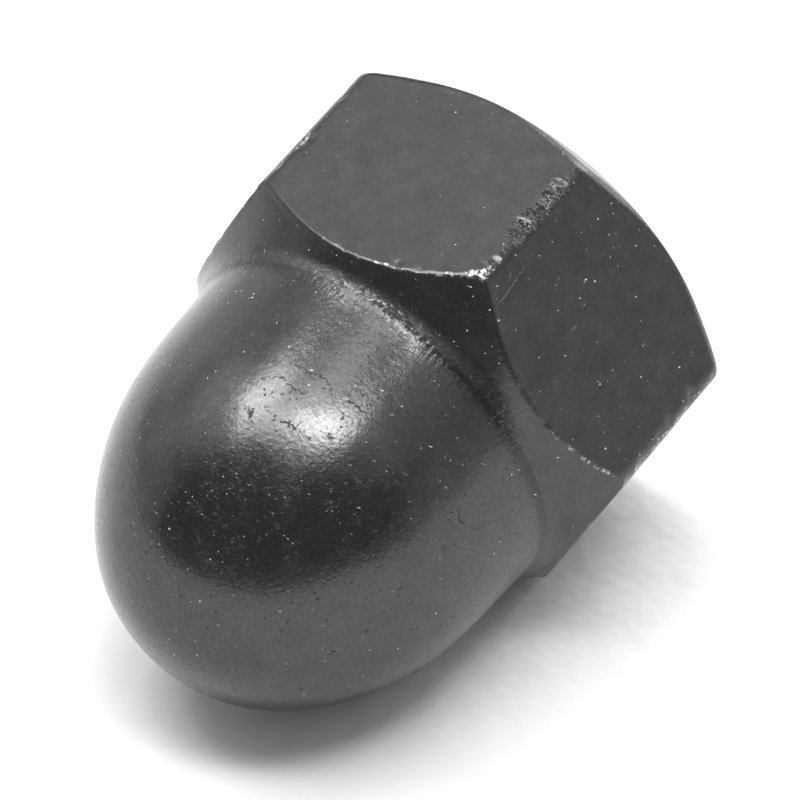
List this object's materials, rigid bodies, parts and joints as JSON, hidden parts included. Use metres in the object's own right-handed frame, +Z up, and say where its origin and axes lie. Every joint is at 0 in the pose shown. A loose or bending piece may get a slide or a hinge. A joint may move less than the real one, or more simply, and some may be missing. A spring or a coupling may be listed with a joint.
{
  "type": "domed cap nut",
  "caption": "Hexagonal cap nut with a closed dome and a blind threaded hole, in dark oxidised steel, lying on its dome.",
  "frame": {"origin": "on the table that the nut lies on, under the centre of its box", "axes": "+Z up from the table; the dome points to -X and leans down by 10.5 degrees, as the nut rests, and the threaded hole opens to +X; +Y is level, across two corners of the head"},
  "size_m": [0.0228, 0.0194, 0.0183],
  "materials": {
    "dark_steel": "satin black oxide on forged steel, rubbed bright in places along the head's edges"
  },
  "bodies": {
    "root": {"cap_nut": "dark_steel"}
  },
  "joints": []
}
